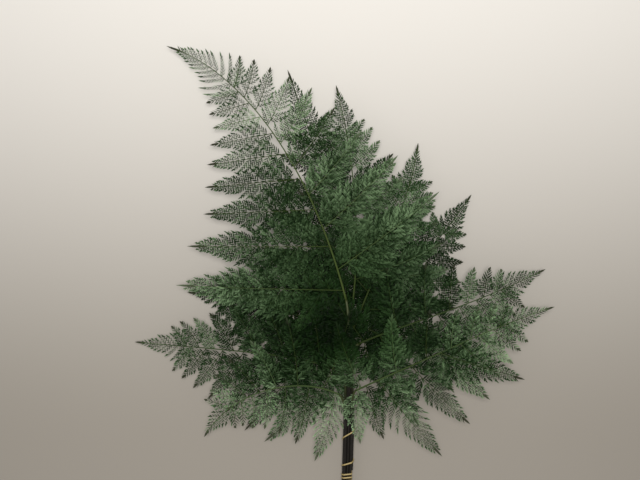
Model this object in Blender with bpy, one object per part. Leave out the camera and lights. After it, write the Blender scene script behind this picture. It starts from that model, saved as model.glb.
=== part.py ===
"""A tied bunch of ten davallia fern fronds, lying on a flat surface. Metres, +Z up.

The stalk ends point to -Y and the foliage to +Y. The origin is the flat spot on the
lowest frond's midrib, on which the bunch rests. Each frond is a dark stalk and a green
blade, and an elastic band holds the ten stalks. The fronds lie in a stack of ten layers,
so that no frond passes through another.
"""

import math
import random

import bmesh
import bpy
import numpy as np

# Stack of fronds
LAYER_PITCH = 0.0085
MIDDLE_OF_LAYER = 0.5
RIM_PINCH = 0.45
RIM_START = 0.09
RIM_END = 0.29
HEAP_CENTRE = np.array([0.0, 0.02])
FAN_RUN = 0.150
FAN_SOFTNESS = 0.012
BLADE_LEAST_FAN = 0.30

# Flat spot on which the bunch rests: the lowest frond dips to the surface round the origin
REST_HEIGHT = 0.0008
REST_RUN = 0.035

# Stalk bundle: rows of three, four and three
ROW_ENDS = (3, 7)
TIE_TOP = np.array([0.0025, -0.1655])
TIE_HEIGHT = 0.024
CUT_END = np.array([-0.0004, -0.2850])
CUT_HEIGHT = 0.0062
CUT_STAGGER = 0.0011
SHORT_STALK_Y = -0.2210
STALK_RADIUS = 0.0015
STALK_TOP_RADIUS = 0.0013
STALK_SPACING = 0.0034
ROW_SPACING = 0.00297
STALK_SIDES = 8
STALK_STEP = 0.019
STALK_STRAIGHT = 0.45
STALK_BEND = 0.12
STALK_GAP = 0.0005
END_STEP = 0.0020

# Midribs
MIDRIB_SIDES = 6
MIDRIB_STEP = 0.027
MIDRIB_END_RADIUS = 0.0005
MIDRIB_RUN = 0.78

# Side branches
LAST_BRANCH = 0.28
SIDE_STEP = 0.45
FIRST_BRANCH = 0.030
BRANCH_BEND = math.radians(8)
BRANCH_TAPER = (0.97, 0.97)
BRANCH_SPREAD = (0.94, 1.05)
ANGLE_FADE = 0.6
MIDDLE_HANG = 0.1
SHINGLE_LIFT = 0.11
TIP_DROOP = 0.15
DROOP_SPREAD = 0.04
LOWEST_DROOP = 0.40

# Leaflets
BLADE_THICKNESS = 0.0007
RIB_HALF_WIDTH = 0.0014
RIB_TAPER = 0.55
BARE_RIB = 0.07
SPIKE = 0.15
LEAFLET_PITCH = 0.0290
LEAFLET_LEAN = math.radians(48)
LEAFLET_PLACE = 0.45
LEAFLET_REACH = (0.38, 0.32)
REACH_FADE = 0.5
LEAFLET_TAPER = 0.85
LEAFLET_FULL_AT = 0.112
LEAFLET_FIRST = 0.85
LEAFLET_LEAST = 0.0015
LEAFLET_CURL = 0.03
LEAFLET_SPREAD = (0.92, 1.06)

# Apex of each frond: a single blade
APEX_START = 0.72
APEX_TAPER = 1.1
APEX_WIDTH = 0.8
APEX_PITCH = 0.016
APEX_BARE_RIB = 0.03
APEX_DROOP = 0.1

# Elastic band: the directions in each half turn where it bends round a stalk, in degrees,
# and the place along the bundle (world Y) of each half turn, on the left side and the right
# side by turns, from the lower end up.
BAND_WIDTH = 0.0020
BAND_THICKNESS = 0.0009
BAND_CLEARANCE = 0.0003
BAND_CORNERS = (0, 43, 48, 132, 137)
BAND_HALF_TURNS = (
    -0.2385, -0.2370, -0.2345, -0.2330, -0.2305, -0.2290, -0.2265, -0.2247,
    -0.2150, -0.2090, -0.1810, -0.1690, -0.1640,
)

LEAF_GREEN = (0.075, 0.155, 0.070, 1)
STALK_BROWN = (0.030, 0.022, 0.018, 1)
BAND_TAN = (0.42, 0.33, 0.15, 1)

# Each frond: its layer, from the bottom up; the four control points of its midrib, from
# the stalk's end to the apex; the length of the lowest side branches on the left and right;
# how many side branches each side has; their angle to the midrib at the base and near
# the apex, in degrees; how far each hangs towards the stalk end; and any extra branches,
# each with its share of the midrib, its angle, its length and its shingle.
FRONDS = {
    "right_lower": dict(
        layer=9, midrib=[(0.010, -0.119), (0.067, -0.087), (0.155, -0.045), (0.246, -0.019)],
        reach=(0.106, 0.130), pairs=7, angles=(92, 51), sag=0.14,
        extra=[(0.012, -124, 0.060, 3), (0.055, -106, 0.066, -1), (0.42, -43, 0.103, 1)]),
    "left_lower": dict(
        layer=8, midrib=[(-0.009, -0.125), (-0.056, -0.098), (-0.133, -0.112), (-0.171, -0.175)],
        reach=(0.090, 0.118), pairs=7, angles=(114, 58), sag=0.03),
    "front": dict(
        layer=7, midrib=[(-0.002, -0.010), (-0.032, 0.110), (-0.105, 0.256), (-0.217, 0.294)],
        reach=(0.222, 0.180), tapers=(1.32, 0.97), pairs=9, angles=(74, 60), sag=0.16),
    "right": dict(
        layer=6, midrib=[(0.013, -0.063), (0.062, -0.040), (0.151, -0.017), (0.239, 0.025)],
        reach=(0.112, 0.130), pairs=7, angles=(110, 52), sag=0.08,
        extra=[(0.03, -102, 0.055, -1)]),
    "upper": dict(
        layer=5, midrib=[(0.006, -0.017), (0.018, 0.072), (0.006, 0.167), (-0.013, 0.247)],
        reach=(0.130, 0.130), pairs=7, angles=(75, 52), sag=0.05),
    "left": dict(
        layer=4, midrib=[(-0.006, -0.100), (-0.052, -0.074), (-0.153, -0.073), (-0.258, -0.064)],
        reach=(0.126, 0.126), pairs=7, angles=(78, 55), sag=0.08),
    "upper_right": dict(
        layer=3, midrib=[(0.007, -0.049), (0.040, 0.036), (0.077, 0.108), (0.087, 0.178)],
        reach=(0.120, 0.125), pairs=7, angles=(75, 52), sag=0.06,
        extra=[(0.05, -102, 0.060, -1)]),
    "left_back": dict(
        layer=2, midrib=[(-0.004, -0.064), (-0.050, -0.024), (-0.130, -0.009), (-0.195, -0.004)],
        reach=(0.114, 0.114), pairs=6, angles=(75, 55), sag=0.08),
    "right_back": dict(
        layer=1, midrib=[(0.012, -0.075), (0.060, -0.001), (0.115, 0.060), (0.154, 0.116)],
        reach=(0.120, 0.120), pairs=6, angles=(75, 55), sag=0.06,
        extra=[(0.10, -104, 0.050, -1)]),
    "under": dict(
        layer=0, midrib=[(0.0014, -0.070), (0.0094, 0.023), (-0.0276, 0.147), (-0.0726, 0.271)],
        reach=(0.150, 0.150), pairs=6, angles=(78, 55), sag=0.04),
}


def smoothstep(value, low, high):
    t = np.clip((value - low) / (high - low), 0.0, 1.0)
    return t * t * (3 - 2 * t)


def blend(first, last, share):
    return first + (last - first) * share


def turned(direction, angle):
    c, s = math.cos(angle), math.sin(angle)
    return np.array([c * direction[0] - s * direction[1], s * direction[0] + c * direction[1]])


def left_of(direction):
    return np.array([-direction[1], direction[0]])


class Line:
    """A plane Bezier curve read by its share of arc length."""

    def __init__(self, control, samples=160):
        degree = len(control) - 1
        t = np.linspace(0, 1, samples)[:, None]
        self.points = sum(
            math.comb(degree, k) * (1 - t) ** (degree - k) * t**k * np.asarray(point, float)
            for k, point in enumerate(control)
        )
        steps = np.linalg.norm(np.diff(self.points, axis=0), axis=1)
        self.travel = np.concatenate([[0], np.cumsum(steps)])
        self.length = self.travel[-1]

    def at(self, share):
        x = np.interp(share * self.length, self.travel, self.points[:, 0])
        y = np.interp(share * self.length, self.travel, self.points[:, 1])
        return np.array([x, y])

    def along(self, share):
        step = self.at(min(share + 0.01, 1.0)) - self.at(max(share - 0.01, 0.0))
        return step / np.linalg.norm(step)


def fan(x, y):
    """0 at the top of the tie and 1 where the fronds lie free of each other."""
    away = math.hypot(x - TIE_TOP[0], y - TIE_TOP[1])
    soft = math.hypot(away, FAN_SOFTNESS) - FAN_SOFTNESS
    return 1 - (1 - min(soft / FAN_RUN, 1.0)) ** 2


def stack_height(layer, x, y, lift=0.0, least_fan=0.0):
    """Height of a frond over a point of the surface. lift is a share of one layer."""
    rim = math.hypot(x - HEAP_CENTRE[0], y - HEAP_CENTRE[1])
    pitch = LAYER_PITCH * (1 - RIM_PINCH * smoothstep(rim, RIM_START, RIM_END))
    free = (layer + MIDDLE_OF_LAYER + lift) * pitch
    height = blend(TIE_HEIGHT, free, max(fan(x, y), least_fan))
    if layer == 0:
        middle = blend(TIE_HEIGHT, MIDDLE_OF_LAYER * LAYER_PITCH, fan(0, 0))
        height -= (middle - REST_HEIGHT) * math.exp(-((math.hypot(x, y) / REST_RUN) ** 4))
    return max(height, REST_HEIGHT / 2)


class Shape:
    """Vertices and faces gathered for one closed body."""

    def __init__(self):
        self.vertices = []
        self.faces = []

    def add(self, point):
        self.vertices.append(tuple(float(v) for v in point))
        return len(self.vertices) - 1

    def sweep(self, rings):
        """Closes a body over rings that run clockwise, seen along the way ahead."""
        for first, second in zip(rings, rings[1:]):
            for j, corner in enumerate(first):
                n = (j + 1) % len(first)
                self.faces.append((corner, first[n], second[n], second[j]))
        self.faces.append(tuple(reversed(rings[0])))
        self.faces.append(tuple(rings[-1]))

    def object(self, name, material):
        mesh = bpy.data.meshes.new(name)
        mesh.from_pydata(self.vertices, [], self.faces)
        mesh.materials.append(material)
        made = bpy.data.objects.new(name, mesh)
        bpy.context.scene.collection.objects.link(made)
        return made


def tube(points, radii, sides):
    """A closed tube along points, with a flat side facing down."""
    shape = Shape()
    points = [np.array(p, float) for p in points]
    turn = math.pi / sides if sides % 4 == 0 else 0.0
    rings = []
    for k, centre in enumerate(points):
        ahead = points[min(k + 1, len(points) - 1)] - points[max(k - 1, 0)]
        ahead /= np.linalg.norm(ahead)
        side = np.cross((0, 0, 1), ahead)
        side /= np.linalg.norm(side)
        up = np.cross(ahead, side)
        ring = []
        for j in range(sides):
            angle = turn + 2 * math.pi * j / sides
            ring.append(shape.add(centre + radii[k] * (math.cos(angle) * side + math.sin(angle) * up)))
        rings.append(ring)
    shape.sweep(rings)
    return shape


def plate(points, triangles):
    """A thin plate: its triangles lie alike on the top and the underside."""
    shape = Shape()
    for side in (1, -1):
        for x, y, z in points:
            shape.add((x, y, z + side * BLADE_THICKNESS / 2))
    below = len(points)
    edges = set()
    for a, b, c in triangles:
        shape.faces.append((a, b, c))
        shape.faces.append((a + below, c + below, b + below))
        edges.update(((a, b), (b, c), (c, a)))
    for a, b in sorted(edges):
        if (b, a) not in edges:
            shape.faces.append((a + below, b + below, b, a))
    return shape


def blade(line, layer, leaflets, half_width, lifts, bare, rng):
    """One thin arched blade, cut nearly to its rib into pointed leaflets on both sides."""
    points = []

    def point(position, lift):
        x, y = position
        points.append((x, y, stack_height(layer, x, y, lift, BLADE_LEAST_FAN)))
        return len(points) - 1

    def lift_at(share):
        level, tip = lifts
        return level * min(1.0, share / bare) + (tip - level) * share

    left, right = [], []
    stops = [0.0] + [blend(bare, 1 - SPIKE, k / leaflets) for k in range(leaflets + 1)]
    for share in stops:
        out = left_of(line.along(share)) * RIB_HALF_WIDTH * (1 - RIB_TAPER * share)
        left.append(point(line.at(share) + out, lift_at(share)))
        right.append(point(line.at(share) - out, lift_at(share)))
    apex = point(line.at(1.0), lift_at(1.0))

    triangles = [(right[-1], apex, left[-1])]
    for k in range(leaflets + 1):
        triangles.append((right[k], right[k + 1], left[k + 1]))
        triangles.append((right[k], left[k + 1], left[k]))
    for k in range(1, leaflets + 1):
        middle = blend(stops[k], stops[k + 1], LEAFLET_PLACE)
        for sign in (1, -1):
            reach = half_width(middle) * rng.uniform(*LEAFLET_SPREAD)
            out = turned(line.along(middle), sign * LEAFLET_LEAN) * reach
            curl = rng.uniform(-LEAFLET_CURL, LEAFLET_CURL)
            tip = point(line.at(middle) + out, lift_at(middle) + curl)
            if sign > 0:
                triangles.append((left[k], left[k + 1], tip))
            else:
                triangles.append((right[k + 1], right[k], tip))
    return plate(points, triangles)


def branch_places(facts):
    """Share of the midrib, angle (positive on the left), length and shingle of each branch."""
    ratio = LAST_BRANCH ** (1 / (facts["pairs"] - 0.5))
    base_angle, apex_angle = facts["angles"]
    tapers = facts.get("tapers", BRANCH_TAPER)
    places = []
    for pair in range(facts["pairs"]):
        for sign, delay, reach, taper in zip((1, -1), (0.0, SIDE_STEP), facts["reach"], tapers):
            share = 1 - ratio ** (pair + delay) + FIRST_BRANCH
            angle = sign * blend(base_angle, apex_angle, share**ANGLE_FADE)
            places.append((share, angle, reach * (1 - share) ** taper, 1 if pair % 2 else -1))
    return places + facts.get("extra", [])


def side_branch(midrib, place, facts, rng):
    """The plan line of one side branch, how far its leaflets reach, and its lifts."""
    share, angle, length, shingle = place
    length *= rng.uniform(*BRANCH_SPREAD)
    root = midrib.at(share)
    out = turned(midrib.along(share), math.radians(angle))
    hang = np.array([0.0, -facts["sag"] * length])
    middle = root + out * length / 2 + hang * MIDDLE_HANG
    tip = root + turned(out, -math.copysign(BRANCH_BEND, angle)) * length + hang
    line = Line([root, middle, tip])
    slender = blend(*LEAFLET_REACH, share**REACH_FADE)

    def half_width(place):
        swell = min(1.0, LEAFLET_FIRST + place / LEAFLET_FULL_AT * (1 - LEAFLET_FIRST))
        return slender * line.length * swell * (1 - place) ** LEAFLET_TAPER + LEAFLET_LEAST

    level = shingle * SHINGLE_LIFT
    droop = TIP_DROOP + rng.uniform(-DROOP_SPREAD, DROOP_SPREAD)
    if facts["layer"] == 0:
        level += SHINGLE_LIFT
        droop = LOWEST_DROOP
    return line, half_width, (level, level - droop)


def frond_apex(midrib, facts):
    """The undivided end of a frond, which follows its midrib to the apex."""
    start, middle, end = (midrib.at(s) for s in (APEX_START, (APEX_START + 1) / 2, 1.0))
    line = Line([start, 2 * middle - (start + end) / 2, end])
    width = sum(facts["reach"]) / 2 * (1 - APEX_START)

    def half_width(place):
        return width * APEX_WIDTH * (1 - place) ** APEX_TAPER + LEAFLET_LEAST

    return line, half_width, (0.0, -APEX_DROOP)


def frond_blade(name, facts, material):
    """A frond's green part: its midrib, side branches with their leaflets, and its apex."""
    layer = facts["layer"]
    midrib = Line(facts["midrib"])
    line, half_width, lifts = frond_apex(midrib, facts)
    leaflets = max(4, round(line.length / APEX_PITCH))
    shapes = [blade(line, layer, leaflets, half_width, lifts, APEX_BARE_RIB, random.Random(name))]
    for number, place in enumerate(branch_places(facts)):
        rng = random.Random(f"{name} {number}")
        line, half_width, lifts = side_branch(midrib, place, facts, rng)
        leaflets = max(3, round(line.length * (1 - SPIKE) / LEAFLET_PITCH))
        shapes.append(blade(line, layer, leaflets, half_width, lifts, BARE_RIB, rng))

    count = round(midrib.length * MIDRIB_RUN / MIDRIB_STEP)
    begin = STALK_GAP / midrib.length
    shares = [blend(begin, MIDRIB_RUN, k / count) for k in range(count + 1)]
    shares.insert(1, begin + END_STEP / midrib.length)
    path = [(*midrib.at(s), stack_height(layer, *midrib.at(s))) for s in shares]
    radii = [blend(STALK_TOP_RADIUS, MIDRIB_END_RADIUS, s) for s in shares]
    body = tube(path, radii, MIDRIB_SIDES).object(f"frond_{name}", material)
    fuse(body, [shape.object(f"branch_{k}", material) for k, shape in enumerate(shapes)])
    return body


def fuse(body, pieces):
    """Joins the pieces to the body in one Boolean union, and removes them."""
    group = bpy.data.collections.new("pieces")
    bpy.context.scene.collection.children.link(group)
    for piece in pieces:
        bpy.context.scene.collection.objects.unlink(piece)
        group.objects.link(piece)
    union = body.modifiers.new("union", "BOOLEAN")
    union.operation = "UNION"
    union.operand_type = "COLLECTION"
    union.collection = group
    union.solver = "MANIFOLD"
    graph = bpy.context.evaluated_depsgraph_get()
    body.data = bpy.data.meshes.new_from_object(body.evaluated_get(graph))
    body.modifiers.clear()
    for piece in pieces:
        bpy.data.objects.remove(piece)
    bpy.data.collections.remove(group)
    fill_hollows(body)


def fill_hollows(body):
    """Fills the small hollows that fusing seals, and drops loose scraps: one shell stays."""
    shell = bmesh.new()
    shell.from_mesh(body.data)
    unseen = set(shell.verts)
    islands = []
    while unseen:
        island = set()
        edge = {next(iter(unseen))}
        while edge:
            island |= edge
            edge = {e.other_vert(v) for v in edge for e in v.link_edges} - island
        unseen -= island
        islands.append(island)
    islands.sort(key=len)
    for island in islands[:-1]:
        bmesh.ops.delete(shell, geom=list(island), context="VERTS")
    shell.to_mesh(body.data)
    shell.free()


def rest_flat(body):
    """Presses flat what would lie below the surface."""
    for vertex in body.data.vertices:
        vertex.co.z = max(vertex.co.z, 0.0)


def stalk_heading(name):
    """How far a stalk turns to the right, on its way from the tie to its blade."""
    x, y = FRONDS[name]["midrib"][0] - TIE_TOP
    return math.atan2(x, y)


def bundle_cells():
    """Places of the stalks in the bundle's cross-section, with lower fronds in lower rows."""
    cells = {}
    order = sorted(FRONDS, key=lambda name: FRONDS[name]["layer"])
    low, high = ROW_ENDS
    for row, names in enumerate((order[:low], order[low:high], order[high:])):
        names = sorted(names, key=stalk_heading)
        for k, name in enumerate(names):
            across = (k - (len(names) - 1) / 2) * STALK_SPACING
            cells[name] = (across, (row - 1) * ROW_SPACING)
    return cells


def bundle_axis(y):
    """Centre of the bundle, in X and Z, at a place along it."""
    share = (y - CUT_END[1]) / (TIE_TOP[1] - CUT_END[1])
    return blend(CUT_END[0], TIE_TOP[0], share), blend(CUT_HEIGHT, TIE_HEIGHT, share)


def stalk(name, facts, cell, low, material):
    """A dark stalk, from its cut end through the bundle and up to the foot of its blade."""
    across, above = cell
    base, handle = (np.array(p) for p in facts["midrib"][:2])
    start = TIE_TOP + (across, 0)
    lead = np.linalg.norm(base - start)
    ahead = (handle - base) / np.linalg.norm(handle - base)
    free = Line([start, start + (0, lead * STALK_STRAIGHT), base - ahead * lead * STALK_BEND, base])
    points = []
    for y in np.linspace(low, TIE_TOP[1], 4)[:-1]:
        x, z = bundle_axis(y)
        points.append((x + across, y, z + above))
    count = max(5, round(free.length / STALK_STEP))
    shares = [*np.linspace(0, 1, count + 1)[:-1], 1 - END_STEP / free.length, 1.0]
    for share in shares:
        x, y = free.at(share)
        points.append((x, y, stack_height(facts["layer"], x, y) + above * (1 - smoothstep(share, 0, 1))))
    radii = [STALK_RADIUS] * 3 + [blend(STALK_RADIUS, STALK_TOP_RADIUS, share) for share in shares]
    return tube(points, radii, STALK_SIDES).object(f"stalk_{name}", material)


def band_reach(direction, y):
    """Distance from the bundle's middle to the band's middle, in a plane direction."""
    row = [(-STALK_SPACING, -ROW_SPACING), (-1.5 * STALK_SPACING, 0), (-STALK_SPACING, ROW_SPACING)]
    corners = np.array(row + [(-x, -z) for x, z in row])
    if y < SHORT_STALK_Y:
        corners = np.delete(corners, 4, axis=0)
    offset = STALK_RADIUS + BAND_CLEARANCE + BAND_THICKNESS / 2
    reaches = []
    for corner, following in zip(corners, np.roll(corners, -1, axis=0)):
        normal = left_of(following - corner) / np.linalg.norm(following - corner)
        if normal @ direction > 0:
            reaches.append((normal @ corner + offset) / (normal @ direction))
    return min(reaches)


def band(material):
    """The elastic band wound up the stalks."""
    shape = Shape()
    rings = []
    last = len(BAND_HALF_TURNS) - 1
    for turns in [half + corner / 180 for half in range(last) for corner in BAND_CORNERS] + [last]:
        y = np.interp(turns, range(len(BAND_HALF_TURNS)), BAND_HALF_TURNS)
        direction = np.array([-math.cos(math.pi * turns), math.sin(math.pi * turns)])
        reach = band_reach(direction, y)
        x0, z0 = bundle_axis(y)
        ring = []
        for out, wide in ((-1, -1), (-1, 1), (1, 1), (1, -1)):
            spot = direction * (reach + out * BAND_THICKNESS / 2)
            ring.append(shape.add((x0 + spot[0], y + wide * BAND_WIDTH / 2, z0 + spot[1])))
        rings.append(ring)
    shape.sweep(rings)
    return shape.object("band", material)


def material(name, colour, roughness):
    made = bpy.data.materials.new(name)
    made.use_nodes = True
    shader = made.node_tree.nodes["Principled BSDF"]
    shader.inputs["Base Color"].default_value = colour
    shader.inputs["Roughness"].default_value = roughness
    shader.inputs["Metallic"].default_value = 0.0
    return made


def main():
    for old in list(bpy.data.objects):
        bpy.data.objects.remove(old)
    leaf = material("leaf", LEAF_GREEN, 0.55)
    bark = material("stalk", STALK_BROWN, 0.35)
    tan = material("band", BAND_TAN, 0.6)
    cells = bundle_cells()
    for number, (name, facts) in enumerate(FRONDS.items()):
        body = frond_blade(name, facts, leaf)
        if facts["layer"] == 0:
            rest_flat(body)
        low = CUT_END[1] + CUT_STAGGER * (number * 7 % 10)
        if cells[name][0] > STALK_SPACING:
            low = SHORT_STALK_Y
        stalk(name, facts, cells[name], low, bark)
    band(tan)


main()
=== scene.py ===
"""Looks of the davallia fern bunch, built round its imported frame. Metres, +Z up.

The bunch lies on the floor with its cut ends towards -Y, and the camera looks down on it.
The fronds follow the same midribs and layers as the solids, divided down to their finest
segments: a midrib carries branches, which carry leaflets, which carry segments.
"""

import math
import random
from dataclasses import dataclass
from typing import Callable

import bpy
import numpy as np
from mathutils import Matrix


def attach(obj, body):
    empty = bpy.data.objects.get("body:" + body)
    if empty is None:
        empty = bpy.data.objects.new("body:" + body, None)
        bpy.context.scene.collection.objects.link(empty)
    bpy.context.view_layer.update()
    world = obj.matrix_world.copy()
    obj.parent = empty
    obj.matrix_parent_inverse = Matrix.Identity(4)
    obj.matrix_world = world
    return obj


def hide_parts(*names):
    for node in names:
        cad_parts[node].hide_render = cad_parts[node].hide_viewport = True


# Stack of fronds, as in the solids
LAYER_PITCH = 0.0085
MIDDLE_OF_LAYER = 0.5
TOP_LAYER = 9
RIM_PINCH = 0.45
RIM_START = 0.09
RIM_END = 0.29
HEAP_CENTRE = np.array([0.0, 0.02])
FAN_RUN = 0.150
FAN_SOFTNESS = 0.012
BLADE_LEAST_FAN = 0.30
REST_HEIGHT = 0.0008
REST_RUN = 0.035
LEAST_HEIGHT = 0.0001

# Stalk bundle, as in the solids. The shuffle mixes the order of the staggered ends.
ROW_ENDS = (3, 7)
TIE_TOP = np.array([0.0025, -0.1655])
TIE_HEIGHT = 0.024
CUT_END = np.array([-0.0004, -0.2850])
CUT_HEIGHT = 0.0062
CUT_STAGGER = 0.0011
CUT_SHUFFLE = 7
SHORT_STALK_Y = -0.2210
STALK_RADIUS = 0.0015
STALK_TOP_RADIUS = 0.0013
STALK_SPACING = 0.0034
ROW_SPACING = 0.00297
STALK_STRAIGHT = 0.45
STALK_BEND = 0.12
STALK_GAP = 0.0005

# Rings and slight swellings of a stalk, and where its upper part begins to turn green
STALK_SIDES = 16
BUNDLED_RINGS = 23
FREE_RINGS = 40
SWELL_STEP = 6
SWELL_SPREAD = 0.018
GREEN_START = 0.55

# Midribs
MIDRIB_RUN = 0.97
MIDRIB_END_RADIUS = 0.0004
MIDRIB_TAPER = 0.6
MIDRIB_RINGS = 60
MIDRIB_SIDES = 12
MIDRIB_CHANCE = 0.5

# Side branches, as in the solids
LAST_BRANCH = 0.28
SIDE_STEP = 0.45
FIRST_BRANCH = 0.030
BRANCH_BEND = math.radians(8)
BRANCH_TAPER = (0.97, 0.97)
BRANCH_SPREAD = (0.94, 1.05)
ANGLE_FADE = 0.6
MIDDLE_HANG = 0.1
SHINGLE_LIFT = 0.11
TIP_DROOP = 0.15
DROOP_SPREAD = 0.04
LOWEST_DROOP = 0.40
LEAFLET_REACH = (0.38, 0.32)
REACH_FADE = 0.5
LEAFLET_TAPER = 0.85
LEAFLET_FULL_AT = 0.112
LEAFLET_FIRST = 0.85
LEAFLET_LEAST = 0.0015
APEX_START = 0.72
APEX_TAPER = 1.1
APEX_WIDTH = 0.8
APEX_DROOP = 0.1

# Fine division. Each pair holds the value for a branch and the one for its leaflets.
BARE = (0.04, 0.01)
LEAN = (math.radians(64), math.radians(42))
LEAN_FADE = (math.radians(34), math.radians(14))
SPIKE_WIDTH = (0.0027, 0.0016)
TIP_TONE = (1.0, 0.35)
RIB_RADIUS = (0.00055, 0.00026)
RIB_LIFT = (0.08, 0.0)
RIB_RINGS = (14, 4)
RIB_SIDES = (5, 3)
RIB_TONE = (0.8, 0.4)

# Leaflets. A step is a share of their length and a least distance.
LEAFLET_EXTRA = 0.0035
DEEPEST_DIVISION = 2
LEAFLET_STEP = (0.22, 0.0020)
STEP_SPREAD = (0.92, 1.08)
LENGTH_SPREAD = (0.86, 1.06)
LEAN_SPREAD = math.radians(2.5)
OTHER_SIDE_DELAY = 0.5
LEAFLET_SLENDER = 0.22
LEAFLET_WIDTH_LEAST = 0.0022
LEAFLET_NARROWING = 0.75
LEAFLET_BEND = math.radians(10)
LEAFLET_DROOP = 7.0
LEAFLET_SAMPLES = 24
LIFT_SPREAD = 0.07
RIB_END = 0.7
RIB_TAPER = 0.75

# Pointed ends of branches, as shares of their length. A leaflet's is a length longer.
BRANCH_SPIKE = 0.14
APEX_SPIKE = 0.20
LEAFLET_SPIKE = 0.2
LEAFLET_SPIKE_LENGTH = 0.002
SPIKE_BARE = 0.8

# Segments, which are the leaflets that are too short to be divided
SIMPLE_LENGTH = 0.0090
SEGMENT_STEP = (0.10, 0.0029)
SEGMENT_SLENDER = 0.08
SEGMENT_WIDTH_LEAST = 0.00120
WIDTH_SPREAD = (0.85, 1.15)
SEGMENT_BEND = (0.0, 0.16)
SEGMENT_TILT = 0.12
SEGMENT_ROLL = 0.35
SEGMENT_RIDGE = 0.00040
KEEL_SHARE = 0.6

# Leaflets and segments are broad in the middle of the bunch and thin at its rim
FULLNESS = (1.30, 0.57)
FULLNESS_FADE = 2.2

# How much lighter one leaflet, segment or segment's tip is than another
APEX_CHANCE = 0.32
LEAFLET_CHANCE = 0.35
SEGMENT_CHANCE = 0.32
SEGMENT_FADE = (-0.30, 0.25)

# Shares of a branch over which its leaflets and segments take the brown of its tip
LEAFLET_TIP = (0.8, 1.05)
SEGMENT_TIP = (0.75, 1.0)

# Painted shade and light: leaves are painted darker towards the middle of the bunch and in its lower
# layers, where shade falls, and lighter towards its rim
DEEPEST = np.array([-0.015, -0.055])
RIM_LEFT_DOWN = (0.20, 0.100)
RIM_RIGHT_UP = (0.25, 0.32)
SHADE_PER_LAYER = 0.012
LOWEST_LIGHT = 0.52
DEEPEST_LIGHT = 0.2
DEEP_RUN = 0.32

# Outline of one segment, along and across it, and its ridge and keel
SEGMENT = np.array([
    (0.00, -0.18), (0.30, -0.50), (0.68, -0.42), (1.00, 0.00),
    (0.68, 0.42), (0.30, 0.50), (0.00, 0.18), (0.42, 0.0), (0.42, 0.0),
])
RIDGE = 7
KEEL = 8

# Elastic band
BAND_WIDTH = 0.0018
BAND_THICKNESS = 0.0008
BAND_CLEARANCE = 0.0001
BAND_STEPS = 20
BAND_SIDES = 8
BAND_ROUNDNESS = 0.5
BAND_HALF_TURNS = (
    -0.2385, -0.2370, -0.2345, -0.2330, -0.2305, -0.2290, -0.2265, -0.2247,
    -0.2150, -0.2090, -0.1810, -0.1690, -0.1640,
)

# Camera straight above the point in the middle of the view
CAMERA_OVER = (-0.0324, 0.060)
CAMERA_HEIGHT = 1.10
CAMERA_LENS = 49.9

# Room
FLOOR_SIZE = 6
ROOM_COLOUR = (1.0, 0.97, 0.93, 1.0)
ROOM_STRENGTH = 0.30
LAMPS_AIM = np.array([0.0, 0.05, 0.0])
LAMPS = {
    "key": dict(place=(-0.02, 0.10, 1.35), size=0.3, power=16.4, colour=(1.0, 0.98, 0.94)),
    "fill": dict(place=(-0.8, -0.1, 1.5), size=1.4, power=2.6, colour=(0.98, 0.98, 1.0)),
}

# Each frond, as in the solids, with the strength of its painted light and of its ribs' colour.
FRONDS = {
    "right_lower": dict(
        layer=9, midrib=[(0.010, -0.119), (0.067, -0.087), (0.155, -0.045), (0.246, -0.019)],
        reach=(0.106, 0.130), pairs=7, angles=(92, 51), sag=0.14,
        extra=[(0.012, -124, 0.060, 3), (0.055, -106, 0.066, -1), (0.42, -43, 0.103, 1)],
        light=0.80, rib=0.5),
    "left_lower": dict(
        layer=8, midrib=[(-0.009, -0.125), (-0.056, -0.098), (-0.133, -0.112), (-0.171, -0.175)],
        reach=(0.090, 0.118), pairs=7, angles=(114, 58), sag=0.03, light=0.85, rib=0.5),
    "front": dict(
        layer=7, midrib=[(-0.002, -0.010), (-0.032, 0.110), (-0.105, 0.256), (-0.217, 0.294)],
        reach=(0.222, 0.180), tapers=(1.32, 0.97), pairs=9, angles=(74, 60), sag=0.16, light=1.1, rib=0.8),
    "right": dict(
        layer=6, midrib=[(0.013, -0.063), (0.062, -0.040), (0.151, -0.017), (0.239, 0.025)],
        reach=(0.112, 0.130), pairs=7, angles=(110, 52), sag=0.08,
        extra=[(0.03, -102, 0.055, -1)], light=0.9, rib=0.35),
    "upper": dict(
        layer=5, midrib=[(0.006, -0.017), (0.018, 0.072), (0.006, 0.167), (-0.013, 0.247)],
        reach=(0.130, 0.130), pairs=7, angles=(75, 52), sag=0.05, light=1.2, rib=0.5),
    "left": dict(
        layer=4, midrib=[(-0.006, -0.100), (-0.052, -0.074), (-0.153, -0.073), (-0.258, -0.064)],
        reach=(0.126, 0.126), pairs=7, angles=(78, 55), sag=0.08, light=1.0, rib=0.35),
    "upper_right": dict(
        layer=3, midrib=[(0.007, -0.049), (0.040, 0.036), (0.077, 0.108), (0.087, 0.178)],
        reach=(0.120, 0.125), pairs=7, angles=(75, 52), sag=0.06,
        extra=[(0.05, -102, 0.060, -1)], light=2.8, rib=0.5),
    "left_back": dict(
        layer=2, midrib=[(-0.004, -0.064), (-0.050, -0.024), (-0.130, -0.009), (-0.195, -0.004)],
        reach=(0.114, 0.114), pairs=6, angles=(75, 55), sag=0.08, light=0.8, rib=0.25),
    "right_back": dict(
        layer=1, midrib=[(0.012, -0.075), (0.060, -0.001), (0.115, 0.060), (0.154, 0.116)],
        reach=(0.120, 0.120), pairs=6, angles=(75, 55), sag=0.06,
        extra=[(0.10, -104, 0.050, -1)], light=1.2, rib=0.25),
    "under": dict(
        layer=0, midrib=[(0.0014, -0.070), (0.0094, 0.023), (-0.0276, 0.147), (-0.0726, 0.271)],
        reach=(0.150, 0.150), pairs=6, angles=(78, 55), sag=0.04, light=0.9, rib=0.25),
}


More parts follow.
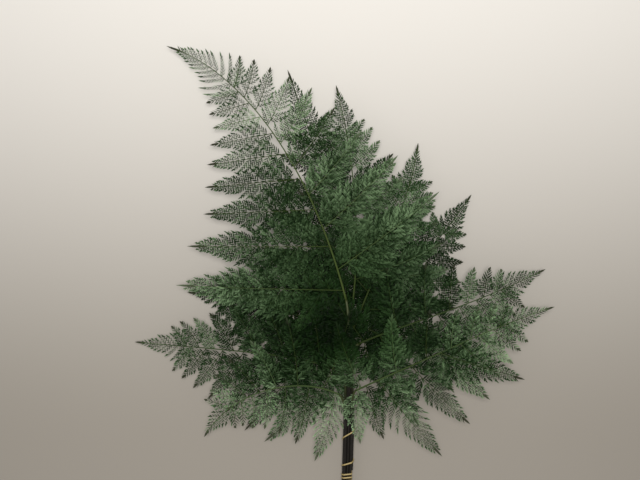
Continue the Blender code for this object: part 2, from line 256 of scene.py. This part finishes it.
def smoothstep(value, low, high):
    t = np.clip((value - low) / (high - low), 0.0, 1.0)
    return t * t * (3 - 2 * t)


def blend(first, last, share):
    return first + (last - first) * share


def turned(direction, angle):
    """Plane directions turned to the left by an angle, one or many at a time."""
    direction = np.asarray(direction, float)
    c, s = np.cos(angle), np.sin(angle)
    x, y = direction[..., 0], direction[..., 1]
    return np.stack([c * x - s * y, s * x + c * y], axis=-1)


class Line:
    """A plane Bezier curve read by its share of arc length, at one or many places."""

    def __init__(self, control, samples=160):
        degree = len(control) - 1
        t = np.linspace(0, 1, samples)[:, None]
        self.points = sum(
            math.comb(degree, k) * (1 - t) ** (degree - k) * t**k * np.asarray(point, float)
            for k, point in enumerate(control)
        )
        steps = np.linalg.norm(np.diff(self.points, axis=0), axis=1)
        self.travel = np.concatenate([[0], np.cumsum(steps)])
        self.length = self.travel[-1]

    def at(self, share):
        reached = np.asarray(share) * self.length
        x = np.interp(reached, self.travel, self.points[:, 0])
        y = np.interp(reached, self.travel, self.points[:, 1])
        return np.stack([x, y], axis=-1)

    def along(self, share, run=0.01):
        """Direction of travel, read over a short run on both sides."""
        share = np.asarray(share)
        step = self.at(np.minimum(share + run, 1.0)) - self.at(np.maximum(share - run, 0.0))
        return step / np.linalg.norm(step, axis=-1, keepdims=True)


def fan(plan):
    """0 at the top of the tie and 1 where the fronds lie free of each other."""
    away = np.linalg.norm(plan - TIE_TOP, axis=-1)
    soft = np.hypot(away, FAN_SOFTNESS) - FAN_SOFTNESS
    return 1 - (1 - np.minimum(soft / FAN_RUN, 1.0)) ** 2


def stack_height(layer, plan, lift=0.0, least_fan=0.0):
    """Height of a frond over points of the surface. lift is a share of one layer."""
    rim = np.linalg.norm(plan - HEAP_CENTRE, axis=-1)
    pitch = LAYER_PITCH * (1 - RIM_PINCH * smoothstep(rim, RIM_START, RIM_END))
    free = (layer + MIDDLE_OF_LAYER + lift) * pitch
    height = blend(TIE_HEIGHT, free, np.maximum(fan(plan), least_fan))
    if layer == 0:
        middle = blend(TIE_HEIGHT, MIDDLE_OF_LAYER * LAYER_PITCH, fan(np.zeros(2)))
        near = np.linalg.norm(plan, axis=-1) / REST_RUN
        height = height - (middle - REST_HEIGHT) * np.exp(-(near**4))
    return np.maximum(height, REST_HEIGHT / 2)


def rimward(plan):
    """0 in the deepest part of the bunch and 1 at its rim."""
    offset = plan - DEEPEST
    reach = np.where(offset > 0, RIM_RIGHT_UP, RIM_LEFT_DOWN)
    return np.minimum(np.linalg.norm(offset / reach, axis=-1), 1.0)


def fullness(plan):
    """How broad leaflets and segments are, which thins out towards the rim of the bunch."""
    return blend(*FULLNESS, rimward(plan) ** FULLNESS_FADE)


class Leafage:
    """Closed leaf segments and ribs of one frond, gathered into one mesh.

    A point is kept as its place on the surface, its lift within the layer, its rise above
    that, and its tone: nearness to a tip, a leaflet's own chance value and whether it is
    a rib. The fourth tone is painted light and shade, how lit a point is painted, and is
    worked out for the whole mesh.
    """

    def __init__(self, layer, light, rib):
        self.layer = layer
        self.light = light
        self.rib_tone = rib
        self.count = 0
        self.plan, self.lift, self.rise, self.tone = [], [], [], []
        self.faces, self.smooth = [], []

    def add(self, plan, lift, rise, tone, faces, smooth):
        self.plan.append(plan.reshape(-1, 2))
        self.lift.append(lift.reshape(-1))
        self.rise.append(rise.reshape(-1))
        self.tone.append(tone.reshape(-1, 3))
        self.faces.append(faces.reshape(-1, 3) + self.count)
        self.smooth.append(np.full(len(self.faces[-1]), smooth))
        self.count += len(self.plan[-1])

    def segments(self, base, ahead, length, width, bend, lift, tilt, roll, tone):
        """Pointed leaf segments, each a bent lens with a ridge above and a keel below."""
        count = len(base)
        side = turned(ahead, math.pi / 2)
        u = SEGMENT[:, 0][None, :]
        v = SEGMENT[:, 1][None, :]
        across = v * width[:, None]
        swerve = across + u**2 * bend[:, None]
        plan = (
            base[:, None, :]
            + (u * length[:, None])[..., None] * ahead[:, None, :]
            + swerve[..., None] * side[:, None, :]
        )
        lifts = lift[:, None] + u * tilt[:, None]
        rise = across * roll[:, None]
        rise[:, RIDGE] += SEGMENT_RIDGE
        rise[:, KEEL] -= SEGMENT_RIDGE * KEEL_SHARE
        ring = np.arange(RIDGE)
        following = (ring + 1) % RIDGE
        top = np.stack([ring, following, np.full(RIDGE, RIDGE)], axis=1)
        bottom = np.stack([following, ring, np.full(RIDGE, KEEL)], axis=1)
        one = np.concatenate([top, bottom])
        faces = one[None] + (np.arange(count) * len(SEGMENT))[:, None, None]
        tones = np.repeat(tone[:, None, :], len(SEGMENT), axis=1)
        tones[:, :, 1] = np.clip(tones[:, :, 1] + blend(*SEGMENT_FADE, u), 0, 1)
        self.add(plan, lifts, rise, tones, faces, False)

    def rib(self, centres, lifts, radii, sides, tone):
        """A tapering closed rib along plane points."""
        ahead = np.gradient(centres, axis=0)
        ahead /= np.linalg.norm(ahead, axis=1, keepdims=True)
        side = turned(ahead, math.pi / 2)
        angles = 2 * math.pi * np.arange(sides) / sides
        out = radii[:, None] * np.cos(angles)[None]
        plan = centres[:, None, :] + out[..., None] * side[:, None, :]
        rise = radii[:, None] * np.sin(angles)[None]
        lift = np.repeat(lifts[:, None], sides, axis=1)
        rings = len(centres)
        tones = np.broadcast_to(np.asarray(tone, float), (rings, sides, 3))
        self.add(plan, lift, rise, tones, tube_faces(rings, sides), True)

    def made(self, name, material):
        """The mesh object, with tips browner towards the rim, and painted light: leaves painted lighter
        towards the rim and darker deep in the bunch and in lower layers.
        """
        plan = np.concatenate(self.plan)
        lift = np.concatenate(self.lift)
        height = stack_height(self.layer, plan, lift, BLADE_LEAST_FAN) + np.concatenate(self.rise)
        points = np.column_stack([plan, np.maximum(height, LEAST_HEIGHT)])
        out = rimward(plan)
        tone = np.concatenate(self.tone)
        tone[:, 0] *= out
        # Painted shade: the chance value is painted darker in lower layers and in the deepest part of the
        # bunch
        tone[:, 1] *= blend(LOWEST_LIGHT, 1.0, self.layer / TOP_LAYER)
        tone[:, 1] *= blend(DEEPEST_LIGHT, 1.0, smoothstep(out, 0.0, DEEP_RUN))
        # Painted light: how lit each point is painted, growing towards the rim, less in each lower layer,
        # scaled by the frond's strength
        light = np.maximum(out - (TOP_LAYER - self.layer) * SHADE_PER_LAYER, 0) ** 2
        tone = np.column_stack([tone, self.light * light])
        faces, smooth = np.concatenate(self.faces), np.concatenate(self.smooth)
        return mesh_object(name, points, faces, material, tone, smooth)


def tube_faces(rings, sides):
    """Triangles of a closed tube whose rings turn to the right about the way ahead."""
    ring = np.arange(rings - 1)[:, None] * sides
    j = np.arange(sides)[None]
    n = (j + 1) % sides
    a, b, c, d = ring + j, ring + n, ring + sides + n, ring + sides + j
    walls = np.concatenate([np.stack(half, -1).reshape(-1, 3) for half in ([a, b, c], [a, c, d])])
    fanned = np.arange(1, sides - 1)
    start = np.stack([np.zeros_like(fanned), fanned + 1, fanned], axis=1)
    end = np.stack([np.zeros_like(fanned), fanned, fanned + 1], axis=1) + (rings - 1) * sides
    return np.concatenate([walls, start, end])


def mesh_object(name, points, faces, material, tone, smooth):
    """An object of triangles whose points carry four tones."""
    mesh = bpy.data.meshes.new(name)
    mesh.vertices.add(len(points))
    mesh.vertices.foreach_set("co", np.asarray(points, np.float32).ravel())
    mesh.loops.add(len(faces) * 3)
    mesh.loops.foreach_set("vertex_index", np.asarray(faces, np.int32).ravel())
    mesh.polygons.add(len(faces))
    mesh.polygons.foreach_set("loop_start", np.arange(len(faces), dtype=np.int32) * 3)
    mesh.update(calc_edges=True)
    mesh.polygons.foreach_set("use_smooth", np.asarray(smooth, bool))
    layer = mesh.attributes.new("tone", "FLOAT_COLOR", "POINT")
    layer.data.foreach_set("color", np.asarray(tone, np.float32).ravel())
    mesh.materials.append(material)
    mesh.validate()
    made = bpy.data.objects.new(name, mesh)
    bpy.context.scene.collection.objects.link(made)
    return made


@dataclass
class Branch:
    """A branch or leaflet before it is divided. Places along it are shares of its length.

    reach tells how far its leaflets reach at a place. lifts are its own at root and tip,
    spike is the share that its end segment takes, and chance is how light it is at random;
    where leaves are painted lit, a high chance also gives a painted glint. depth is 0 for a
    branch and grows with each division. tipness is how brown its place makes it.
    """

    line: Line
    reach: Callable
    lifts: tuple
    spike: float
    chance: float
    depth: int = 0
    tipness: float = 0.0

    def lift(self, place):
        return blend(*self.lifts, place)

    def pick(self, pair):
        """The value for a branch or the one for its leaflets."""
        return pair[min(self.depth, 1)]


def step_after(length):
    """Distance along a rib from a leaflet of this length to the next one of its side."""
    share, least = SEGMENT_STEP if length < SIMPLE_LENGTH else LEAFLET_STEP
    return share * length + least


def grow(leafage, branch, rng):
    """Divides a branch or leaflet: a rib with leaflets or segments on both sides."""
    simple = []
    bare = branch.pick(BARE)
    for sign, delay in ((1, 0.0), (-1, OTHER_SIDE_DELAY)):
        place = bare + delay * step_after(branch.reach(bare)) / branch.line.length
        while place < 1 - branch.spike * SPIKE_BARE:
            length = branch.reach(place) * rng.uniform(*LENGTH_SPREAD)
            upright = branch.pick(LEAN_FADE) * place
            lean = sign * (branch.pick(LEAN) - upright + rng.gauss(0, LEAN_SPREAD))
            if length < SIMPLE_LENGTH or branch.depth == DEEPEST_DIVISION:
                simple.append((place, lean, length))
            else:
                grow(leafage, leaflet(branch, place, lean, length, rng), rng)
            place += step_after(length) / branch.line.length * rng.uniform(*STEP_SPREAD)
    if simple:
        add_segments(leafage, branch, simple, rng)
    add_end(leafage, branch)
    add_rib(leafage, branch)


def leaflet(branch, place, lean, length, rng):
    """A leaflet that leans to one side of a branch and bends back towards its tip."""
    root = branch.line.at(place)
    ahead = branch.line.along(place)
    tip = root + turned(ahead, lean - math.copysign(LEAFLET_BEND, lean)) * length
    knee = root + turned(ahead, lean) * length / 2
    level = branch.lift(place)
    tilt = -LEAFLET_DROOP * length + rng.gauss(0, LIFT_SPREAD)
    widest = LEAFLET_SLENDER * length * fullness(root)

    def reach(spot):
        return widest * (1 - spot) ** LEAFLET_NARROWING + LEAFLET_WIDTH_LEAST

    return Branch(
        line=Line([root, knee, tip], LEAFLET_SAMPLES),
        reach=reach,
        lifts=(level, level + tilt),
        spike=LEAFLET_SPIKE + LEAFLET_SPIKE_LENGTH / length,
        chance=blend(branch.chance, rng.random(), LEAFLET_CHANCE),
        depth=branch.depth + 1,
        tipness=max(branch.tipness, smoothstep(place, *LEAFLET_TIP)),
    )


def add_segments(leafage, branch, simple, rng):
    """The undivided leaflets of a branch, given by their places, leans and lengths."""
    place, lean, length = np.array(simple).T
    count = len(place)
    draws = np.random.default_rng(rng.randrange(2**32))
    base = branch.line.at(place)
    width = (SEGMENT_SLENDER * length + SEGMENT_WIDTH_LEAST) * draws.uniform(*WIDTH_SPREAD, count)
    tone = np.zeros((count, 3))
    tone[:, 0] = np.maximum(branch.tipness, smoothstep(place, *SEGMENT_TIP) * branch.pick(TIP_TONE))
    tone[:, 1] = branch.chance + draws.uniform(-SEGMENT_CHANCE, SEGMENT_CHANCE, count)
    leafage.segments(
        base=base,
        ahead=turned(branch.line.along(place), lean),
        length=length,
        width=width * fullness(base),
        bend=-np.sign(lean) * length * draws.uniform(*SEGMENT_BEND, count),
        lift=branch.lift(place),
        tilt=draws.normal(0, SEGMENT_TILT, count),
        roll=draws.normal(0, SEGMENT_ROLL, count),
        tone=tone,
    )


def add_end(leafage, branch):
    """The pointed segment that ends a branch."""
    foot = 1 - branch.spike
    brown = branch.tipness if branch.depth else 1.0
    leafage.segments(
        base=branch.line.at([foot]),
        ahead=branch.line.along([1.0]),
        length=np.array([branch.spike * branch.line.length]),
        width=np.array([branch.pick(SPIKE_WIDTH)]),
        bend=np.zeros(1),
        lift=np.array([branch.lift(foot)]),
        tilt=np.array([branch.lifts[1] - branch.lift(foot)]),
        roll=np.zeros(1),
        tone=np.array([[brown, branch.chance, 0.0]]),
    )


def add_rib(leafage, branch):
    """The rib of a branch, which thins towards the pointed segment at its end."""
    places = np.linspace(0, 1 - RIB_END * branch.spike, branch.pick(RIB_RINGS))
    leafage.rib(
        centres=branch.line.at(places),
        lifts=branch.lift(places) + branch.pick(RIB_LIFT),
        radii=branch.pick(RIB_RADIUS) * (1 - RIB_TAPER * places),
        sides=branch.pick(RIB_SIDES),
        tone=(branch.tipness, branch.chance, leafage.rib_tone * branch.pick(RIB_TONE)),
    )


def branch_places(facts):
    """Share of the midrib, angle (positive on the left), length and shingle of each branch."""
    ratio = LAST_BRANCH ** (1 / (facts["pairs"] - 0.5))
    base_angle, apex_angle = facts["angles"]
    tapers = facts.get("tapers", BRANCH_TAPER)
    places = []
    for pair in range(facts["pairs"]):
        for sign, delay, reach, taper in zip((1, -1), (0.0, SIDE_STEP), facts["reach"], tapers):
            share = 1 - ratio ** (pair + delay) + FIRST_BRANCH
            angle = sign * blend(base_angle, apex_angle, share**ANGLE_FADE)
            places.append((share, angle, reach * (1 - share) ** taper, 1 if pair % 2 else -1))
    return places + facts.get("extra", [])


def side_branch(midrib, place, facts, rng):
    """One side branch, whose leaflets are widest a little way out from the midrib."""
    share, angle, length, shingle = place
    length *= rng.uniform(*BRANCH_SPREAD)
    root = midrib.at(share)
    out = turned(midrib.along(share), math.radians(angle))
    hang = np.array([0.0, -facts["sag"] * length])
    middle = root + out * length / 2 + hang * MIDDLE_HANG
    tip = root + turned(out, -math.copysign(BRANCH_BEND, angle)) * length + hang
    line = Line([root, middle, tip])
    slender = blend(*LEAFLET_REACH, share**REACH_FADE)

    def reach(spot):
        swell = min(1.0, LEAFLET_FIRST + spot / LEAFLET_FULL_AT * (1 - LEAFLET_FIRST))
        widest = slender * line.length + LEAFLET_EXTRA
        return widest * swell * (1 - spot) ** LEAFLET_TAPER + LEAFLET_LEAST

    level = shingle * SHINGLE_LIFT
    droop = TIP_DROOP + rng.uniform(-DROOP_SPREAD, DROOP_SPREAD)
    if facts["layer"] == 0:
        level += SHINGLE_LIFT
        droop = LOWEST_DROOP
    return Branch(line, reach, (level, level - droop), BRANCH_SPIKE, rng.random())


def frond_apex(midrib, facts):
    """The end of a frond past its last branches, which follows its midrib to the apex."""
    start, middle, end = (midrib.at(s) for s in (APEX_START, (APEX_START + 1) / 2, 1.0))
    line = Line([start, 2 * middle - (start + end) / 2, end])
    width = sum(facts["reach"]) / 2 * (1 - APEX_START)

    def reach(spot):
        return width * APEX_WIDTH * (1 - spot) ** APEX_TAPER + LEAFLET_LEAST

    return Branch(line, reach, (0.0, -APEX_DROOP), APEX_SPIKE, APEX_CHANCE)


def frond(name, facts, material):
    """The green part of one frond, down to its segments."""
    leafage = Leafage(facts["layer"], facts["light"], facts["rib"])
    midrib = Line(facts["midrib"])
    grow(leafage, frond_apex(midrib, facts), random.Random(name))
    for number, place in enumerate(branch_places(facts)):
        rng = random.Random(f"{name} {number}")
        grow(leafage, side_branch(midrib, place, facts, rng), rng)
    shares = np.linspace(STALK_GAP / midrib.length, MIDRIB_RUN, MIDRIB_RINGS)
    leafage.rib(
        centres=midrib.at(shares),
        lifts=np.zeros(MIDRIB_RINGS),
        radii=blend(STALK_TOP_RADIUS, MIDRIB_END_RADIUS, shares**MIDRIB_TAPER),
        sides=MIDRIB_SIDES,
        tone=(0.0, MIDRIB_CHANCE, facts["rib"]),
    )
    return leafage.made(f"foliage_{name}", material)


def stalk_heading(name):
    """How far a stalk turns to the right, on its way from the tie to its blade."""
    x, y = FRONDS[name]["midrib"][0] - TIE_TOP
    return math.atan2(x, y)


def bundle_cells():
    """Places of the stalks in the bundle's cross-section, with lower fronds in lower rows."""
    cells = {}
    order = sorted(FRONDS, key=lambda name: FRONDS[name]["layer"])
    low, high = ROW_ENDS
    for row, names in enumerate((order[:low], order[low:high], order[high:])):
        names = sorted(names, key=stalk_heading)
        for k, name in enumerate(names):
            across = (k - (len(names) - 1) / 2) * STALK_SPACING
            cells[name] = (across, (row - 1) * ROW_SPACING)
    return cells


def bundle_axis(y):
    """Centre of the bundle, in X and Z, at a place along it."""
    share = (y - CUT_END[1]) / (TIE_TOP[1] - CUT_END[1])
    return blend(CUT_END[0], TIE_TOP[0], share), blend(CUT_HEIGHT, TIE_HEIGHT, share)


def stalk_cut(number, cell):
    """Where a stalk is cut, along Y. The rightmost stalk is the short one."""
    if cell[0] > STALK_SPACING:
        return SHORT_STALK_Y
    return CUT_END[1] + CUT_STAGGER * (number * CUT_SHUFFLE % len(FRONDS))


def stalk(name, facts, cell, low, material):
    """A round stalk with slight swellings, which turns green towards its blade."""
    across, above = cell
    points = []
    for y in np.linspace(low, TIE_TOP[1], BUNDLED_RINGS, endpoint=False):
        x, z = bundle_axis(y)
        points.append((x + across, y, z + above))

    base, handle = (np.array(p) for p in facts["midrib"][:2])
    start = TIE_TOP + (across, 0)
    lead = np.linalg.norm(base - start)
    ahead = (handle - base) / np.linalg.norm(handle - base)
    free = Line([start, start + (0, lead * STALK_STRAIGHT), base - ahead * lead * STALK_BEND, base])
    shares = np.linspace(0, 1, FREE_RINGS)
    plan = free.at(shares)
    height = stack_height(facts["layer"], plan) + above * (1 - smoothstep(shares, 0, 1))
    points = np.concatenate([points, np.column_stack([plan, height])])

    total = len(points)
    draws = np.random.default_rng(facts["layer"])
    knots = np.arange(0, total, SWELL_STEP)
    swell = np.interp(np.arange(total), knots, draws.normal(0, SWELL_SPREAD, len(knots)))
    thinning = blend(STALK_RADIUS, STALK_TOP_RADIUS, shares)
    radii = np.concatenate([np.full(BUNDLED_RINGS, STALK_RADIUS), thinning])
    tone = np.zeros((total, 4))
    tone[:, 2] = np.clip((np.arange(total) / total - GREEN_START) / (1 - GREEN_START), 0, 1)
    return tube(f"stem_{name}", points, radii * (1 + swell), tone, material)


def tube(name, points, radii, tone, material):
    """A closed round tube along points in space, smooth but for its flat ends."""
    ahead = np.gradient(points, axis=0)
    ahead /= np.linalg.norm(ahead, axis=1, keepdims=True)
    side = np.cross((0.0, 0.0, 1.0), ahead)
    side /= np.linalg.norm(side, axis=1, keepdims=True)
    up = np.cross(ahead, side)
    angles = 2 * math.pi * np.arange(STALK_SIDES) / STALK_SIDES
    sideways = np.cos(angles)[None, :, None] * side[:, None, :]
    upwards = np.sin(angles)[None, :, None] * up[:, None, :]
    body = points[:, None, :] + radii[:, None, None] * (sideways + upwards)
    faces = tube_faces(len(points), STALK_SIDES)
    smooth = np.ones(len(faces), bool)
    smooth[-2 * (STALK_SIDES - 2):] = False
    tones = np.repeat(tone, STALK_SIDES, axis=0)
    return mesh_object(name, body.reshape(-1, 3), faces, material, tones, smooth)


def band_section():
    """Outline of the elastic, along the bundle and out from it: a flat, rounded oblong."""
    section = []
    for k in range(BAND_SIDES):
        angle = 2 * math.pi * (k + 0.5) / BAND_SIDES
        c, s = math.cos(angle), math.sin(angle)
        wide = math.copysign(abs(c) ** BAND_ROUNDNESS, c) * BAND_WIDTH / 2
        out = math.copysign(abs(s) ** BAND_ROUNDNESS, s) * BAND_THICKNESS / 2
        section.append((wide, out))
    return section


def band(material):
    """The elastic band, which wraps round the stalks and spans from one to the next."""
    # The left stalks of the rows of three, four and three, and their mirror images
    left = [(-STALK_SPACING, -ROW_SPACING), (-1.5 * STALK_SPACING, 0), (-STALK_SPACING, ROW_SPACING)]
    corners = np.array(left + [(-x, -z) for x, z in left])
    beyond_short = np.delete(corners, corners[:, 0].argmax(), axis=0)
    offset = STALK_RADIUS + BAND_CLEARANCE + BAND_THICKNESS / 2
    last = len(BAND_HALF_TURNS) - 1
    turns = np.arange(last * BAND_STEPS + 1) / BAND_STEPS
    normals = np.column_stack([-np.cos(math.pi * turns), np.sin(math.pi * turns)])
    spots = []
    for turn, normal in zip(turns, normals):
        y = np.interp(turn, range(last + 1), BAND_HALF_TURNS)
        around = beyond_short if y < SHORT_STALK_Y else corners
        spots.append(around[np.argmax(around @ normal)])
    walk = np.array(spots) + normals * offset
    travel = np.concatenate([[0], np.cumsum(np.linalg.norm(np.diff(walk, axis=0), axis=1))])
    slopes = np.interp(travel, travel[::BAND_STEPS], BAND_HALF_TURNS)
    section = band_section()
    points = []
    for y, spot, normal in zip(slopes, spots, normals):
        x0, z0 = bundle_axis(y)
        for wide, out in section:
            x, z = spot + normal * (offset + out)
            points.append((x0 + x, y + wide, z0 + z))
    faces = tube_faces(len(slopes), BAND_SIDES)
    tone = np.zeros((len(points), 4))
    return mesh_object("elastic", points, faces, material, tone, np.ones(len(faces), bool))


class Shader:
    """A Principled material and the nodes that feed it."""

    def __init__(self, name):
        self.material = bpy.data.materials.new(name)
        self.material.use_nodes = True
        self.nodes = self.material.node_tree.nodes
        self.links = self.material.node_tree.links
        self.surface = self.nodes["Principled BSDF"]

    def place(self):
        return self.nodes.new("ShaderNodeTexCoord").outputs["Object"]

    def noise(self, scale, detail, stretch=(1, 1, 1)):
        """A noise over the object's own coordinates, stretched along its axes."""
        sized = self.nodes.new("ShaderNodeMapping")
        sized.inputs["Scale"].default_value = stretch
        self.links.new(self.place(), sized.inputs["Vector"])
        made = self.nodes.new("ShaderNodeTexNoise")
        made.inputs["Scale"].default_value = scale
        made.inputs["Detail"].default_value = detail
        self.links.new(sized.outputs["Vector"], made.inputs["Vector"])
        return made.outputs["Fac"]

    def spread(self, value, low=0.0, high=1.0, first=0.0, last=1.0):
        """Maps a value from low..high to first..last."""
        made = self.nodes.new("ShaderNodeMapRange")
        self.links.new(value, made.inputs["Value"])
        for name, number in (("From Min", low), ("From Max", high), ("To Min", first), ("To Max", last)):
            made.inputs[name].default_value = number
        return made.outputs["Result"]

    def mixed(self, share, first, last):
        """A colour between two, each a colour or a socket."""
        made = self.nodes.new("ShaderNodeMix")
        made.data_type = "RGBA"
        self.links.new(share, made.inputs["Factor"])
        for socket, colour in ((made.inputs["A"], first), (made.inputs["B"], last)):
            if isinstance(colour, tuple):
                socket.default_value = (*colour, 1)
            else:
                self.links.new(colour, socket)
        return made.outputs["Result"]

    def tones(self):
        """The four values that each vertex carries. On leaves the fourth is painted light."""
        read = self.nodes.new("ShaderNodeAttribute")
        read.attribute_name = "tone"
        parts = self.nodes.new("ShaderNodeSeparateColor")
        self.links.new(read.outputs["Color"], parts.inputs["Color"])
        return parts.outputs["Red"], parts.outputs["Green"], parts.outputs["Blue"], read.outputs["Alpha"]

    def finished(self, colour, roughness, specular):
        """The material with its colour and gloss set. roughness is a number or a socket."""
        self.links.new(colour, self.surface.inputs["Base Color"])
        if isinstance(roughness, float):
            self.surface.inputs["Roughness"].default_value = roughness
        else:
            self.links.new(roughness, self.surface.inputs["Roughness"])
        self.surface.inputs["Specular IOR Level"].default_value = specular
        return self.material

    def bump(self, height, distance, strength):
        made = self.nodes.new("ShaderNodeBump")
        made.inputs["Distance"].default_value = distance
        made.inputs["Strength"].default_value = strength
        self.links.new(height, made.inputs["Height"])
        self.links.new(made.outputs["Normal"], self.surface.inputs["Normal"])


def leaf_material():
    """Green with painted light and shade: near black where painted shaded, lightening with a leaflet's
    chance value up to a painted glint where painted lit, brown at the tips.
    """
    shader = Shader("leaf")
    tip, chance, rib, light = shader.tones()
    dull = (0.010, 0.035, 0.007)
    dim = (0.003, 0.011, 0.002)
    rib_green = (0.060, 0.085, 0.022)
    brown = (0.040, 0.036, 0.026)
    # Painted shade: the colours of leaves deep in the bunch
    shaded = shader.mixed(chance, (0.000, 0.001, 0.000), (0.014, 0.042, 0.008))
    # Painted highlight: a pale glint that high chance values reach where leaves are painted lit
    painted_glint = shader.mixed(chance, dull, (0.490, 0.710, 0.400))
    lit = shader.mixed(chance, dull, painted_glint)
    # The fourth tone mixes the painted shade and the painted light
    leafy = shader.mixed(light, shaded, lit)
    patches = shader.spread(shader.noise(scale=22, detail=4), low=0.35, high=0.65, last=0.35)
    leafy = shader.mixed(patches, leafy, dim)
    ribbed = shader.mixed(shader.spread(rib, last=0.85), leafy, rib_green)
    ended = shader.mixed(shader.spread(tip, last=0.8), ribbed, brown)
    mottle = shader.noise(scale=140, detail=3)
    roughness = shader.spread(mottle, low=0.3, high=0.7, first=0.38, last=0.6)
    shader.bump(shader.noise(scale=1400, detail=2), distance=0.0001, strength=0.35)
    return shader.finished(ended, roughness, specular=0.04)


def stalk_material():
    """Nearly black bark with fine streaks along it, green where the tone says so."""
    shader = Shader("stalk")
    greenness = shader.tones()[2]
    streaks = shader.noise(scale=700, detail=4, stretch=(1, 0.05, 1))
    dark = shader.mixed(streaks, (0.002, 0.002, 0.0015), (0.014, 0.011, 0.008))
    green = shader.mixed(streaks, (0.022, 0.032, 0.009), (0.055, 0.068, 0.020))
    roughness = shader.spread(streaks, low=0.3, high=0.7, first=0.3, last=0.5)
    shader.bump(streaks, distance=0.0002, strength=0.4)
    return shader.finished(shader.mixed(greenness, dark, green), roughness, specular=0.3)


def band_material():
    """Tan elastic with a fine grain."""
    shader = Shader("band")
    grain = shader.noise(scale=900, detail=3, stretch=(1, 0.3, 1))
    tan = shader.mixed(grain, (0.25, 0.18, 0.060), (0.42, 0.33, 0.14))
    shader.bump(grain, distance=0.0002, strength=0.3)
    return shader.finished(tan, roughness=0.5, specular=0.5)


def floor_material():
    """A pale matt surface with painted light: darker towards -Y and lighter towards +Y, as if the light
    fell off down the view.
    """
    shader = Shader("floor")
    parts = shader.nodes.new("ShaderNodeSeparateXYZ")
    shader.links.new(shader.place(), parts.inputs["Vector"])
    painted_falloff = shader.spread(parts.outputs["Y"], low=-0.20, high=0.57)
    painted_falloff.node.interpolation_type = "SMOOTHSTEP"
    # Painted light: the floor's colour darkens towards -Y and lightens towards +Y
    pale = shader.mixed(painted_falloff, (0.285, 0.262, 0.231), (0.88, 0.858, 0.823))
    return shader.finished(pale, roughness=0.9, specular=0.2)


def lay_floor():
    bpy.ops.mesh.primitive_plane_add(size=FLOOR_SIZE, location=(0, 0, 0))
    floor = bpy.context.object
    floor.name = "floor"
    floor.data.materials.append(floor_material())


def set_camera():
    lens = bpy.data.cameras.new("camera")
    lens.lens = CAMERA_LENS
    camera = bpy.data.objects.new("camera", lens)
    camera.location = (*CAMERA_OVER, CAMERA_HEIGHT)
    bpy.context.scene.collection.objects.link(camera)
    bpy.context.scene.camera = camera


def light_room():
    """A soft room, a small lamp close to the camera and a broad, weak one on the left."""
    world = bpy.data.worlds.new("room")
    world.use_nodes = True
    background = world.node_tree.nodes["Background"]
    background.inputs["Color"].default_value = ROOM_COLOUR
    background.inputs["Strength"].default_value = ROOM_STRENGTH
    bpy.context.scene.world = world

    for name, facts in LAMPS.items():
        light = bpy.data.lights.new(name, "AREA")
        light.shape = "DISK"
        light.size = facts["size"]
        light.energy = facts["power"]
        light.color = facts["colour"]
        lamp = bpy.data.objects.new(name, light)
        lamp.location = facts["place"]
        x, y, z = LAMPS_AIM - facts["place"]
        lamp.rotation_euler = (math.atan2(math.hypot(x, y), -z), 0, math.atan2(y, x) - math.pi / 2)
        bpy.context.scene.collection.objects.link(lamp)


bpy.context.scene.view_settings.view_transform = "Standard"
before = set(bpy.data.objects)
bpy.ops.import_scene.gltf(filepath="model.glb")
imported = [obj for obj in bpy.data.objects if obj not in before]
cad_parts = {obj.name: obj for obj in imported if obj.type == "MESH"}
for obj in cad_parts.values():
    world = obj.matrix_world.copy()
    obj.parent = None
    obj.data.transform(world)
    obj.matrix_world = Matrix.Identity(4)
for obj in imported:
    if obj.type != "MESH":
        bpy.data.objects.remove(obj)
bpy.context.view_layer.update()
lay_floor()
set_camera()
light_room()

leaf = leaf_material()
bark = stalk_material()
cells = bundle_cells()
for number, (name, facts) in enumerate(FRONDS.items()):
    green = frond(name, facts, leaf)
    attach(green, "root")
    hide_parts(f"frond_{name}")
    stem = stalk(name, facts, cells[name], stalk_cut(number, cells[name]), bark)
    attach(stem, "root")
    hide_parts(f"stalk_{name}")

elastic = band(band_material())
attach(elastic, "root")
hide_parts("band")
